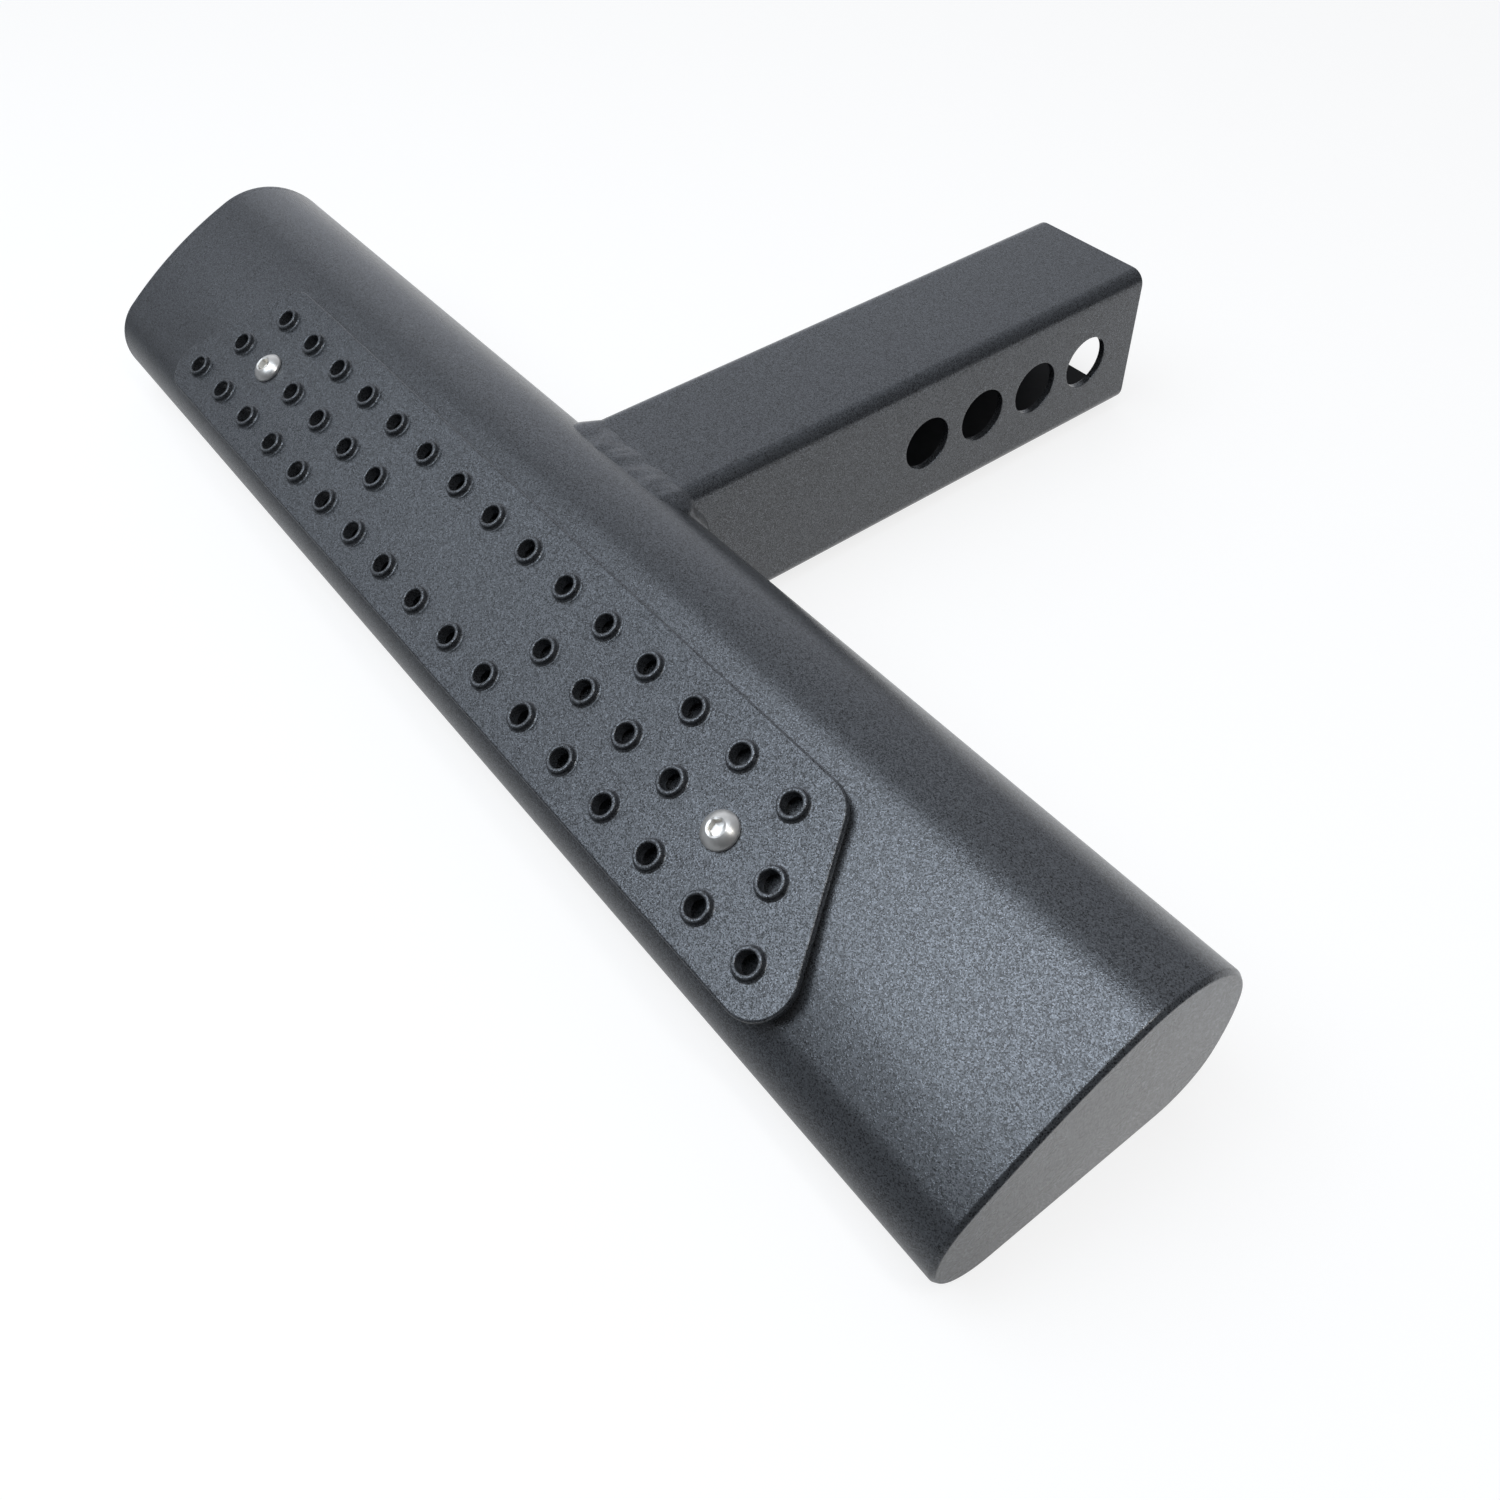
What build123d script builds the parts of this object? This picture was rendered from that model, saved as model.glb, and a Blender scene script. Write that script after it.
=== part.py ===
from build123d import *
import os
from math import cos, radians, sin, tan

os.makedirs("parts", exist_ok=True)

# A step that plugs into a tow hitch: a wedge-shaped step tube with a pierced tread plate, welded
# across the end of a square shank. X runs along the step, Y along the shank towards the vehicle,
# Z up. The origin is on the shank's axis, at the pin hole nearest its open tail.

# Square shank and its pin holes
shank_size = 50.0
shank_wall = 2.5
shank_corner_radius = 5.0
heel_reach = 169.1  # first pin hole to the sharp corner of the step's heel
tail_margin = 23.3  # first pin hole to the open tail
pin_hole_diameter = 18.0
pin_hole_pitch = 24.3
pin_hole_count = 4

# Step tube: a wedge with a level sole, a bulging back and a crowned tread that slopes to the front
step_length = 443.4
step_wall = 2.0
wedge_depth = 106.5  # sharp corner of the nose to that of the heel, along the sole
wedge_height = 64.0  # sole to the sharp corner of the shoulder
shoulder_lean = 5.2  # how far the shoulder's corner is ahead of the heel's
sole_drop = 27.8  # shank's axis to the sole
tread_crown = 11.0  # rise of the tread over the line between its corners
back_crown = 10.0
nose_radius = 18.1
shoulder_radius = 27.6
heel_radius = 17.3
cap_thickness = 3.0
cap_edge_bevel = 1.2

# Tread plate: a trapezoid with round corners and rows of raised collars
plate_width = 53.0
plate_mid_length = 314.5
plate_thickness = 1.8
plate_corner_radius = 10.0
plate_end_slant = 30.0
plate_tilt = 28.4
plate_forward_shift = 6.7  # from where a plane of that tilt touches the tread to the plate's centre
collar_pitch = 19.0
collar_row_spacing = 15.8
collar_outer_diameter = 8.0
collar_bore_diameter = 5.4
collar_height = 1.8
collar_draft = 6.0
collar_sides = 9  # a near-round polygon, which keeps so many collars light
front_row_reach = 8  # collars on each side of the middle, in the front and back rows
back_row_reach = 7
middle_row_steps = [2.5, 3.5, 4.5, 5.5, 7.5]
screw_step = 6.5  # the screws take a place in the middle row

# Button head screws and the threaded inserts that hold them
screw_diameter = 6.0
screw_length = 14.0
screw_head_diameter = 10.2
screw_head_height = 3.3
screw_head_rim = 0.7
screw_key_size = 4.0
screw_key_depth = 2.1
screw_hole_clearance = 0.3
insert_body_diameter = 9.0
insert_hole_clearance = 0.1
insert_flange_diameter = 13.0
insert_flange_thickness = 1.8
insert_seat_depth = 0.3  # the tread is pressed flat under the flange
insert_length = 15.0
thread_clearance = 0.05

# Weld bead around the shank
weld_width = 5.0
weld_height = 1.2

# Corners of the wedge before rounding, as (Y, Z)
sole_z = -sole_drop
heel_corner = (-heel_reach, sole_z)
nose_corner = (-heel_reach - wedge_depth, sole_z)
shoulder_corner = (-heel_reach - shoulder_lean, sole_z + wedge_height)

with BuildLine() as wedge:
    Line(nose_corner, heel_corner)
    SagittaArc(heel_corner, shoulder_corner, -back_crown)
    tread = SagittaArc(shoulder_corner, nose_corner, -tread_crown)

with BuildSketch() as step_outline:
    make_face(wedge.edges())
    for corner, radius in (
        (nose_corner, nose_radius),
        (heel_corner, heel_radius),
        (shoulder_corner, shoulder_radius),
    ):
        fillet(step_outline.vertices().sort_by_distance(corner)[0], radius)

# The plate lies over the tread's crown, on the flanges of the inserts
crown_plane = Plane(
    origin=(0, tread.arc_center.X, tread.arc_center.Y),
    x_dir=(1, 0, 0),
    z_dir=(0, -sin(radians(plate_tilt)), cos(radians(plate_tilt))),
)
insert_seat = Plane(
    origin=crown_plane.from_local_coords((0, -plate_forward_shift, tread.radius - insert_seat_depth)),
    x_dir=crown_plane.x_dir,
    z_dir=crown_plane.z_dir,
)
plate_underside = insert_seat.offset(insert_flange_thickness)
plate_top = plate_underside.offset(plate_thickness)

# The shank is drawn from inside the step's back and then cut to fit it
shank_front = Plane.XZ.offset(heel_reach + shoulder_radius)
shank_length = heel_reach + shoulder_radius + tail_margin

tube_length = step_length - 2 * cap_thickness
screw_x = screw_step * collar_pitch
screw_places = [(-screw_x, 0), (screw_x, 0)]

# Step tube, with a seat and a hole in the tread's wall for each insert
with BuildPart() as step_tube:
    with BuildSketch(Plane.YZ):
        add(step_outline.sketch)
        offset(amount=-step_wall, mode=Mode.SUBTRACT)
    extrude(amount=tube_length / 2, both=True)
    with BuildSketch(insert_seat):
        with Locations(*screw_places):
            Circle(insert_flange_diameter / 2 + insert_hole_clearance)
    extrude(amount=insert_flange_thickness, mode=Mode.SUBTRACT)
    with BuildSketch(insert_seat):
        with Locations(*screw_places):
            Circle(insert_body_diameter / 2 + insert_hole_clearance)
    extrude(amount=-2 * step_wall, mode=Mode.SUBTRACT)

# End caps, ground flush with the tube and bevelled at the rim
with BuildPart() as end_cap_right:
    with BuildSketch(Plane.YZ.offset(tube_length / 2)):
        add(step_outline.sketch)
    extrude(amount=cap_thickness)
    outer_face = end_cap_right.faces().sort_by(Axis.X)[-1]
    chamfer(outer_face.edges(), cap_edge_bevel)

with BuildPart() as end_cap_left:
    mirror(end_cap_right.part, about=Plane.YZ)

# Shank: coped to the back of the step, open at the tail, drilled through both side walls
with BuildPart() as shank:
    with BuildSketch(shank_front):
        RectangleRounded(shank_size, shank_size, shank_corner_radius)
        offset(amount=-shank_wall, mode=Mode.SUBTRACT)
    extrude(amount=-shank_length)
    with BuildSketch(Plane.YZ):
        add(step_outline.sketch)
    extrude(amount=shank_size, both=True, mode=Mode.SUBTRACT)
    with BuildSketch(Plane.YZ):
        for step in range(pin_hole_count):
            with Locations((-step * pin_hole_pitch, 0)):
                Circle(pin_hole_diameter / 2)
    extrude(amount=shank_size, both=True, mode=Mode.SUBTRACT)

# Weld: a low bead over the shank, all the way round where it meets the back of the step
with BuildPart() as shank_weld:
    with BuildSketch(Plane.YZ):
        add(step_outline.sketch)
        offset(amount=weld_width)
    extrude(amount=shank_size, both=True)
    with BuildSketch(shank_front):
        RectangleRounded(
            shank_size + 2 * weld_height,
            shank_size + 2 * weld_height,
            shank_corner_radius + weld_height,
        )
    extrude(amount=-shank_length, mode=Mode.INTERSECT)
    inner_end = shank_weld.faces().sort_by(Axis.Y)[0]
    bead_rim = shank_weld.edges().filter_by(Axis.Y, reverse=True) - inner_end.edges()
    chamfer(bead_rim, weld_height / 2)
    with BuildSketch(Plane.YZ):
        add(step_outline.sketch)
    extrude(amount=shank_size, both=True, mode=Mode.SUBTRACT)
    with BuildSketch(shank_front):
        RectangleRounded(shank_size, shank_size, shank_corner_radius)
    extrude(amount=-shank_length, mode=Mode.SUBTRACT)

# Tread plate, with each collar drawn up out of the sheet around its bore
half_length = plate_mid_length / 2
half_width = plate_width / 2
end_run = half_width * tan(radians(plate_end_slant))
front_steps = range(-front_row_reach, front_row_reach + 1)
back_steps = range(-back_row_reach, back_row_reach + 1)
front_row = [(step * collar_pitch, -collar_row_spacing) for step in front_steps]
back_row = [(step * collar_pitch, collar_row_spacing) for step in back_steps]
middle_row = [(side * step * collar_pitch, 0) for side in (-1, 1) for step in middle_row_steps]
collar_places = front_row + middle_row + back_row
collar_spread = collar_height * tan(radians(collar_draft))

with BuildPart() as tread_plate:
    with BuildSketch(plate_underside):
        with BuildLine():
            FilletPolyline(
                (-half_length - end_run, -half_width),
                (half_length + end_run, -half_width),
                (half_length - end_run, half_width),
                (-half_length + end_run, half_width),
                radius=plate_corner_radius,
                close=True,
            )
        make_face()
        with Locations(*screw_places):
            Circle(screw_diameter / 2 + screw_hole_clearance, mode=Mode.SUBTRACT)
    extrude(amount=plate_thickness)
    with BuildSketch(plate_top):
        with Locations(*collar_places):
            RegularPolygon(collar_outer_diameter / 2 + collar_spread, collar_sides)
    extrude(amount=collar_height, taper=collar_draft)
    with BuildSketch(plate_underside):
        with Locations(*collar_places):
            RegularPolygon(collar_bore_diameter / 2, collar_sides)
    extrude(amount=plate_thickness + collar_height, mode=Mode.SUBTRACT)

# One screw about Z, seated at Z = 0, then set in both places
head_radius = screw_head_diameter / 2
with BuildPart() as button_screw:
    with BuildSketch(Plane.XZ):
        with BuildLine():
            Polyline(
                (0, screw_head_height),
                (0, -screw_length),
                (screw_diameter / 2, -screw_length),
                (screw_diameter / 2, 0),
                (head_radius, 0),
                (head_radius, screw_head_rim),
            )
            TangentArc((0, screw_head_height), (head_radius, screw_head_rim), tangent=(1, 0))
        make_face()
    revolve(axis=Axis.Z)
    with BuildSketch(Plane.XY.offset(screw_head_height)):
        RegularPolygon(screw_key_size / 2, 6, major_radius=False)
    extrude(amount=-screw_key_depth, mode=Mode.SUBTRACT)

with BuildPart(plate_top) as tread_screws:
    with Locations(*screw_places):
        add(button_screw.part)

# One threaded insert about Z, its flange seated at Z = 0
with BuildPart() as insert:
    with BuildSketch():
        Circle(insert_flange_diameter / 2)
    extrude(amount=insert_flange_thickness)
    with BuildSketch():
        Circle(insert_body_diameter / 2)
    extrude(amount=-insert_length)
    Hole(screw_diameter / 2 + thread_clearance)

with BuildPart(insert_seat) as threaded_inserts:
    with Locations(*screw_places):
        add(insert.part)

pieces = {
    "step_tube": step_tube,
    "end_cap_left": end_cap_left,
    "end_cap_right": end_cap_right,
    "shank": shank,
    "shank_weld": shank_weld,
    "tread_plate": tread_plate,
    "tread_screws": tread_screws,
    "threaded_inserts": threaded_inserts,
}
for name, piece in pieces.items():
    piece.part.label = name
    export_step(piece.part, f"parts/{name}.step")
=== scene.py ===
from math import atan2, cos, pi, radians, sin, sqrt, tan

import bmesh
import bpy
from bpy.props import FloatProperty, FloatVectorProperty, IntProperty, PointerProperty
from bpy.types import Operator, Panel, PropertyGroup
from mathutils import Matrix, Vector, noise


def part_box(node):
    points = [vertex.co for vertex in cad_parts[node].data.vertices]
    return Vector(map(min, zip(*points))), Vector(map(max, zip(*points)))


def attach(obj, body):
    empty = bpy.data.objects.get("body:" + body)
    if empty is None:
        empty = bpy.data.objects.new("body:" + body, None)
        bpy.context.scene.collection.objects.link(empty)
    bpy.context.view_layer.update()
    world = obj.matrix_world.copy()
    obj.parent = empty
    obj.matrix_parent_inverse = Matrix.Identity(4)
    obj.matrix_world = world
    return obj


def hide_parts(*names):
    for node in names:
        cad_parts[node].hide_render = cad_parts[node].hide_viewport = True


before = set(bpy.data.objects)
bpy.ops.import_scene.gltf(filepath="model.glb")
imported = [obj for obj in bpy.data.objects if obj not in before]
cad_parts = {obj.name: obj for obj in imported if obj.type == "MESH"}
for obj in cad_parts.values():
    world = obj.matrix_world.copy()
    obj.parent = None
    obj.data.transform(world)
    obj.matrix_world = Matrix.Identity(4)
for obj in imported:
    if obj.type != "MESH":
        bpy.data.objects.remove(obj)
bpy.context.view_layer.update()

bl_info = {
    "name": "Hitch Receiver Step",
    "version": (1, 0, 0),
    "blender": (4, 5, 0),
    "location": "3D View > Sidebar > Hitch Step",
    "description": "Dresses a hitch receiver step: wedge tube, pierced tread plate, shank and weld",
    "category": "Object",
}

tube_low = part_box("step_tube")[0]
cap_low, cap_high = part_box("end_cap_right")
shank_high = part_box("shank")[1]

touching = 1e-6  # points nearer than this are one point

# Faces that meet at less than these angles are shaded as one surface
crease, bead_crease = radians(38), radians(80)

# Edges to soften are picked by the angle between their faces
chamfer_angles = radians(22), radians(68)
cut_angle = radians(60)

# How many straight steps each rounding is drawn with
section_steps = (12, 6, 26, 10, 30)  # heel, back, shoulder, tread and nose
shank_corner_steps, shank_wall_cuts = 8, 12
pin_hole_steps = 40
bead_corner_steps, bead_side_cuts, bead_rows = 12, 48, 9
collar_steps, collar_foot_steps, collar_rim_steps = 28, 4, 3
screw_hole_steps = 32
front_corner_steps, back_corner_steps = 14, 10
screw_steps, dome_steps = 48, 10

# Noise that makes the weld uneven, in changes per metre: its course, its lumps and its climb
course_pace, lump_pace, climb_pace = 140, 210, 170

# The middle row's collars, in pitches from the plate's middle; a screw takes the place left out
middle_row_steps = (2.5, 3.5, 4.5, 5.5, 7.5)

# Each coat's specular level, depth of grain in metres and grains per metre
coats = {
    "black_coat_grain": (0.6, 0.00004, 3900),
    "black_coat_plate": (0.45, 0.00004, 3900),
    "black_coat_cap": (0.7, 0.00014, 2200),
}

# Brightness of the sky by bearing, from the right of the camera (0) to the left behind the step (1)
sky_bearing = (-0.85, 0.5, 0)
sky_flattening = (1, 1, 0.6)
sky_stops = (
    (0.4, 0.13), (0.64, 0.2), (0.82, 0.36), (0.915, 0.43), (0.955, 0.7), (0.98, 0.75))
sky_tint = (0.95, 0.98, 1.05)

# Soft boxes: colour, width and length, place, and the point that each one faces
soft_boxes = {
    "key": ("cool", (0.52, 1.2), (0.0, -0.57, 0.957), (0.2, -0.22, 0)),
    "wash": ("cool", (0.6, 0.8), (-0.64, -0.6, 0.8), (0.0, -0.22, 0)),
    "crest": ("cool", (0.25, 0.6), (-0.28, -0.36, 1.08), (0.15, -0.2, 0)),
    "edge": ("warm", (0.1, 0.4), (0.56, -0.16, 0.92), (0.1, -0.22, 0)),
}


class StepTubeSettings(PropertyGroup):
    """The wedge section, drawn as rounding circles, and the plates that close its ends"""

    nose: FloatVectorProperty(
        name="Nose", description="Rounding at the front: centre Y, centre Z and radius",
        default=(-0.232474, -0.0097, 0.0181), unit="LENGTH")
    tread: FloatVectorProperty(
        name="Tread", description="Crown of the tread: centre Y, centre Z and radius",
        default=(-0.140743, -0.129084, 0.168656), unit="LENGTH")
    shoulder: FloatVectorProperty(
        name="Shoulder", description="Rounding above the back: centre Y, centre Z and radius",
        default=(-0.189295, 0.003353, 0.0276), unit="LENGTH")
    back: FloatVectorProperty(
        name="Back", description="Bulge of the back: centre Y, centre Z and radius",
        default=(-0.218085, 0.000431, 0.056538), unit="LENGTH")
    heel: FloatVectorProperty(
        name="Heel", description="Rounding below the back: centre Y, centre Z and radius",
        default=(-0.180401, -0.0105, 0.0173), unit="LENGTH")
    rim: FloatProperty(
        name="Cap Rim", description="Chamfer of each cap's rim, along the step",
        default=0.0012, unit="LENGTH")
    rim_inset: FloatProperty(
        name="Cap Rim Inset", description="Chamfer of each cap's rim, across its face",
        default=0.0008, unit="LENGTH")
    rim_edge: FloatProperty(
        name="Cap Rim Edge", description="How far the coat rounds the chamfer's edges",
        default=0.00025, unit="LENGTH")


class ShankSettings(PropertyGroup):
    """The square shank, its pin holes and its weld"""

    wall: FloatProperty(
        name="Wall", description="Thickness of the tube", default=0.0025, unit="LENGTH")
    corner: FloatProperty(
        name="Corner Radius", description="Outside rounding of the four corners",
        default=0.005, unit="LENGTH")
    hole_count: IntProperty(
        name="Pin Holes", description="Holes along each side wall", default=4, min=1)
    hole_pitch: FloatProperty(
        name="Hole Pitch", description="Distance between pin holes",
        default=0.0243, unit="LENGTH")
    hole_radius: FloatProperty(
        name="Hole Radius", description="Radius of a pin hole", default=0.009, unit="LENGTH")
    edge: FloatProperty(
        name="Edge Softness", description="How far the coat rounds a cut edge",
        default=0.0004, unit="LENGTH")
    bead_run: FloatProperty(
        name="Bead Run", description="How far the weld runs out along the shank's top",
        default=0.0075, unit="LENGTH")
    bead_climb: FloatProperty(
        name="Bead Climb", description="How far the weld climbs the step",
        default=0.0032, unit="LENGTH")
    bead_ripple: FloatProperty(
        name="Bead Ripple", description="Pitch of the ripples along the weld",
        default=0.0052, unit="LENGTH")
    bead_swell: FloatProperty(
        name="Bead Swell", description="How far the weld bulges", default=0.00035, unit="LENGTH")
    bead_lump: FloatProperty(
        name="Bead Lump", description="How far the weld's lumps stand out",
        default=0.00025, unit="LENGTH")
    bead_sink: FloatProperty(
        name="Bead Sink", description="How far the weld's edge sinks into the step",
        default=0.0003, unit="LENGTH")


class PlateSettings(PropertyGroup):
    """The tread plate and its collars"""

    seat: FloatVectorProperty(
        name="Seat", description="Middle of the seat that the plate's inserts stand on",
        default=(0, -0.226711, 0.015824), subtype="TRANSLATION")
    tilt: FloatProperty(
        name="Tilt", description="Slope of the plate", default=radians(28.4), subtype="ANGLE")
    lift: FloatProperty(
        name="Lift", description="Height of the plate's top above the seat",
        default=0.0036, unit="LENGTH")
    thickness: FloatProperty(
        name="Thickness", description="Thickness of the sheet", default=0.0018, unit="LENGTH")
    length: FloatProperty(
        name="Length", description="Length along the middle", default=0.3145, unit="LENGTH")
    width: FloatProperty(
        name="Width", description="Front to back", default=0.053, unit="LENGTH")
    slant: FloatProperty(
        name="End Slant", description="How far the ends lean in",
        default=radians(30), subtype="ANGLE")
    corner: FloatProperty(
        name="Corner Radius", description="Rounding of the four corners",
        default=0.010, unit="LENGTH")
    edge: FloatProperty(
        name="Edge Softness", description="Rounding of the sheet's edge",
        default=0.0007, unit="LENGTH")
    pitch: FloatProperty(
        name="Collar Pitch", description="Distance between collars", default=0.019, unit="LENGTH")
    row: FloatProperty(
        name="Row Spacing", description="Distance between rows", default=0.0158, unit="LENGTH")
    front_reach: IntProperty(
        name="Front Row", description="Collars on each side of the front row's middle",
        default=8, min=1)
    back_reach: IntProperty(
        name="Back Row", description="Collars on each side of the back row's middle",
        default=7, min=1)
    collar: FloatProperty(
        name="Collar Radius", description="Outside radius of a collar",
        default=0.0039, unit="LENGTH")
    bore: FloatProperty(
        name="Bore Radius", description="Radius of a collar's bore", default=0.0027, unit="LENGTH")
    rise: FloatProperty(
        name="Collar Height", description="Height of a collar above the sheet",
        default=0.0018, unit="LENGTH")
    flare: FloatProperty(
        name="Collar Flare", description="How far a collar's foot spreads",
        default=0.0007, unit="LENGTH")
    draft: FloatProperty(
        name="Collar Draft", description="How far a collar's side leans in",
        default=radians(6), subtype="ANGLE")
    rim: FloatProperty(
        name="Collar Rim", description="Rounding of a collar's rim, as a share of its wall",
        default=0.36, subtype="FACTOR", min=0, max=0.5)


class ScrewSettings(PropertyGroup):
    """The two button head screws"""

    place: FloatProperty(
        name="Place", description="Distance of each screw from the middle",
        default=0.1235, unit="LENGTH")
    head: FloatProperty(
        name="Head Radius", description="Radius of the head", default=0.0051, unit="LENGTH")
    rise: FloatProperty(
        name="Head Height", description="Height of the head", default=0.0033, unit="LENGTH")
    rim: FloatProperty(
        name="Head Rim", description="Height of the head's straight side",
        default=0.0007, unit="LENGTH")
    edge: FloatProperty(
        name="Head Edge", description="Chamfer under the head", default=0.0002, unit="LENGTH")
    key: FloatProperty(
        name="Key Size", description="Width across the flats of the socket",
        default=0.004, unit="LENGTH")
    depth: FloatProperty(
        name="Key Depth", description="Depth of the socket", default=0.0021, unit="LENGTH")
    lip: FloatProperty(
        name="Socket Lip", description="Width of the flat round the socket",
        default=0.0003, unit="LENGTH")
    sink: FloatProperty(
        name="Socket Sink", description="How far that flat is sunk", default=0.00015, unit="LENGTH")
    drill: FloatProperty(
        name="Drill Point", description="Depth of the drill's point under the socket",
        default=0.0006, unit="LENGTH")
    turn: FloatProperty(
        name="Turn", description="How far the screws are turned",
        default=radians(12), subtype="ANGLE")
    stem: FloatProperty(
        name="Stem Radius", description="Outside radius of the thread",
        default=0.003, unit="LENGTH")
    length: FloatProperty(
        name="Stem Length", description="Length under the head", default=0.014, unit="LENGTH")
    clearance: FloatProperty(
        name="Hole Clearance", description="Room round the stem in the plate",
        default=0.0003, unit="LENGTH")


class FinishSettings(PropertyGroup):
    """Colours of the coat and of the bare metals"""

    coat: FloatVectorProperty(
        name="Coat", description="Darkest grains of the black coat",
        default=(0.003, 0.0035, 0.0045), subtype="COLOR")
    fleck: FloatVectorProperty(
        name="Flecks", description="Lightest grains of the black coat",
        default=(0.19, 0.2, 0.215), subtype="COLOR")
    # Painted shade: the darker coat laid inside the shank and under the plate, where little light
    # reaches
    inside: FloatVectorProperty(
        name="Inside", description="Dark patches of the thin coat inside",
        default=(0.004, 0.004, 0.005), subtype="COLOR")
    inside_patch: FloatVectorProperty(
        name="Inside Patches", description="Light patches of the thin coat inside",
        default=(0.016, 0.016, 0.018), subtype="COLOR")
    stainless: FloatVectorProperty(
        name="Stainless", description="Colour of the screws",
        default=(0.97, 0.95, 0.91), subtype="COLOR")
    zinc: FloatVectorProperty(
        name="Zinc", description="Colour of the threaded inserts",
        default=(0.55, 0.55, 0.53), subtype="COLOR")


class StageSettings(PropertyGroup):
    """Camera, floor and lamps"""

    camera_place: FloatVectorProperty(
        name="Camera", description="Where the camera stands",
        default=(0.28684, -0.33646, 0.26412), subtype="TRANSLATION")
    camera_turn: FloatVectorProperty(
        name="Camera Turn", description="How the camera is turned",
        default=(radians(41.9068), radians(1.6431), radians(52.4956)), subtype="EULER")
    lens: FloatProperty(
        name="Lens", description="Focal length", default=32.8931, subtype="DISTANCE_CAMERA")
    floor_tone: FloatVectorProperty(
        name="Floor", description="Colour of the floor",
        default=(0.26, 0.26, 0.26), subtype="COLOR")
    floor_white: FloatProperty(
        name="Floor White", description="Whiteness added where the camera sees the floor",
        default=0.81)
    floor_mirrored: FloatProperty(
        name="Floor Mirrored", description="Brightness of the floor behind, as the coat mirrors it",
        default=0.74)
    mirrored_start: FloatProperty(
        name="Mirrored Start", description="Where the mirrored floor starts to brighten",
        default=-0.34, unit="LENGTH")
    mirrored_full: FloatProperty(
        name="Mirrored Full", description="Where the mirrored floor is brightest",
        default=-0.18, unit="LENGTH")
    backdrop: FloatVectorProperty(
        name="Backdrop", description="Colour behind the floor, as the camera sees it",
        default=(0.92, 0.92, 0.92), subtype="COLOR")
    sky: FloatProperty(
        name="Sky", description="Strength of the soft light all round", default=1.0)
    sky_dark: FloatVectorProperty(
        name="Dark Sky", description="Colour of the sky's darkest side",
        default=(0.01, 0.01, 0.01), subtype="COLOR")
    sky_light: FloatVectorProperty(
        name="Light Sky", description="Colour of the sky's lightest side",
        default=(0.76, 0.78, 0.84), subtype="COLOR")
    key: FloatProperty(
        name="Key", description="Strength of the soft box above the tread",
        default=5.2, subtype="POWER")
    wash: FloatProperty(
        name="Wash", description="Strength of the soft box left of the key",
        default=1.5, subtype="POWER")
    crest: FloatProperty(
        name="Crest Light", description="Strength of the strip that lights the back of the tread",
        default=0.8, subtype="POWER")
    edge: FloatProperty(
        name="Edge Light", description="Strength of the strip that picks out edges on the right",
        default=1.4, subtype="POWER")
    cool: FloatVectorProperty(
        name="Cool Light", description="Colour of the soft boxes over the tread",
        default=(0.83, 0.91, 1.0), subtype="COLOR")
    warm: FloatVectorProperty(
        name="Warm Light", description="Colour of the edge light",
        default=(1.0, 0.98, 0.95), subtype="COLOR")


class HitchStepSettings(PropertyGroup):
    """All the settings of the hitch step"""

    tube: PointerProperty(type=StepTubeSettings)
    shank: PointerProperty(type=ShankSettings)
    plate: PointerProperty(type=PlateSettings)
    screw: PointerProperty(type=ScrewSettings)
    finish: PointerProperty(type=FinishSettings)
    stage: PointerProperty(type=StageSettings)


def vertices_of(geometry):
    """The vertices out of mixed geometry."""
    return [item for item in geometry if isinstance(item, bmesh.types.BMVert)]


def edges_of(geometry):
    """The edges out of mixed geometry."""
    return [item for item in geometry if isinstance(item, bmesh.types.BMEdge)]


def open_edges(bm, inside):
    """The edges that still lack a face, out of those that pass a test."""
    return [edge for edge in bm.edges if len(edge.link_faces) < 2 and inside(edge)]


def farthest_face(bm, axis):
    """The face that lies farthest along an axis."""
    return max(bm.faces, key=lambda face: face.calc_center_median()[axis])


def face_outwards(bm):
    """Turn an open shell's faces outwards, judged by the highest one."""
    bmesh.ops.recalc_face_normals(bm, faces=bm.faces)
    if farthest_face(bm, 2).normal.z < 0:
        bmesh.ops.reverse_faces(bm, faces=bm.faces)


def run(bm, point, shift, steps=1):
    """Draw a straight line on from a point and give its far end."""
    for _ in range(steps):
        grown = bmesh.ops.extrude_vert_indiv(bm, verts=[point])
        point = grown["verts"][0]
        bmesh.ops.translate(bm, verts=[point], vec=Vector(shift) / steps)
    return point


def turn(bm, point, centre, axis, angle, steps):
    """Draw an arc on from a point and give its far end."""
    spun = bmesh.ops.spin(
        bm, geom=[point], cent=centre, axis=axis, angle=angle, steps=steps,
        use_merge=False, use_duplicate=False)
    return vertices_of(spun["geom_last"])[0]


def revolve(bm, geometry, centre, axis, steps):
    """Turn a profile once round an axis."""
    bmesh.ops.spin(
        bm, geom=geometry, cent=centre, axis=axis, angle=2 * pi, steps=steps,
        use_merge=True, use_duplicate=False)


def soften(bm, edges, offset, segments):
    """Round edges over."""
    bmesh.ops.bevel(
        bm, geom=edges, offset=offset, affect="EDGES", segments=segments, profile=0.5, material=-1)


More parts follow.
